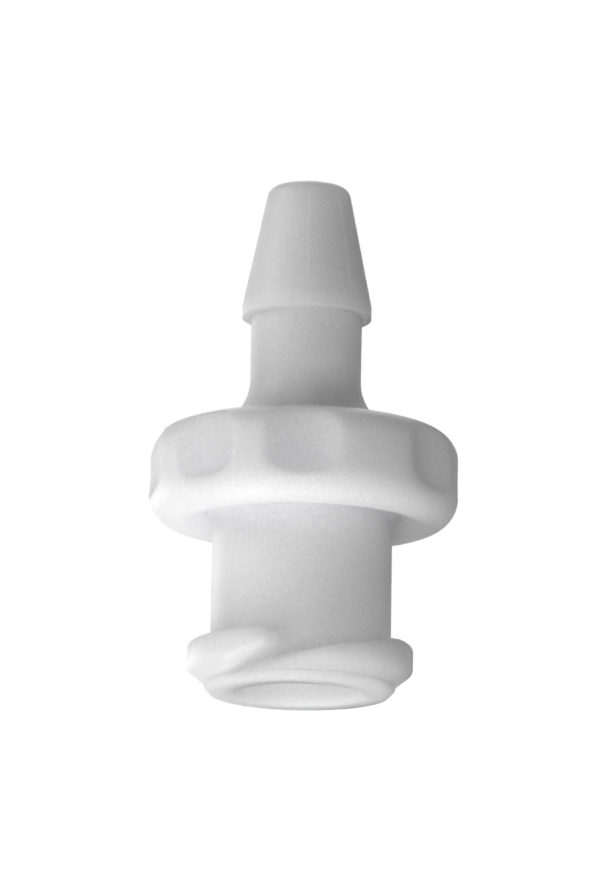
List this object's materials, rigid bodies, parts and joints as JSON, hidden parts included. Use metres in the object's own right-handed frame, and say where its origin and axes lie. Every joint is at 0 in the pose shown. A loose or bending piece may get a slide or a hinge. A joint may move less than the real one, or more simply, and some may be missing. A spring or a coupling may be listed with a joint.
{
  "type": "luer hose barb adapter",
  "caption": "Moulded fluid adapter: a female luer lock socket with thread lugs on one end, a scalloped grip flange, and a single hose barb on the other.",
  "frame": {"origin": "centre of the mouth face, where the part stands", "axes": "+Z along the flow path towards the barb, -Y towards the viewer of the picture"},
  "size_m": [0.0108, 0.0106, 0.018],
  "materials": {
    "moulded_polymer": "natural white polypropylene, as moulded, faintly translucent with a soft low sheen"
  },
  "bodies": {
    "root": {"luer_barb_adapter": "moulded_polymer"}
  },
  "joints": []
}
